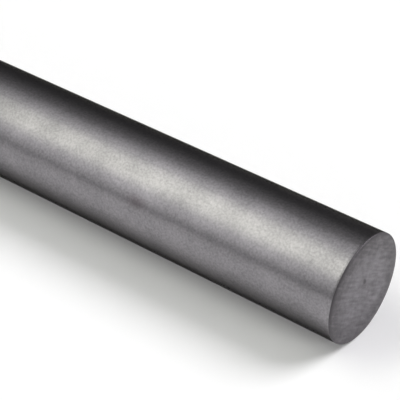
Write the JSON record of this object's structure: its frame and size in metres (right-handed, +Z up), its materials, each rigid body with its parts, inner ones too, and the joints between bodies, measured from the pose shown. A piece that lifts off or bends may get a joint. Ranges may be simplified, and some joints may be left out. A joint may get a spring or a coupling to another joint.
{
  "type": "round bar",
  "caption": "Galvanized steel round bar stock, solid, sawn square at both ends with deburred rims, for framing, pins, stakes and bracing.",
  "frame": {"origin": "on the floor plane under the bar's middle; the bar's centre line is one radius above it", "axes": "+X along the bar towards the sawn end that the picture shows, +Z up from the floor, +Y across the bar"},
  "size_m": [0.9144, 0.0254, 0.0254],
  "materials": {
    "galvanized_steel": "dull satin zinc on cold-finished steel; bare sawn steel on the end faces"
  },
  "bodies": {
    "root": {"round_bar": "galvanized_steel"}
  },
  "joints": []
}
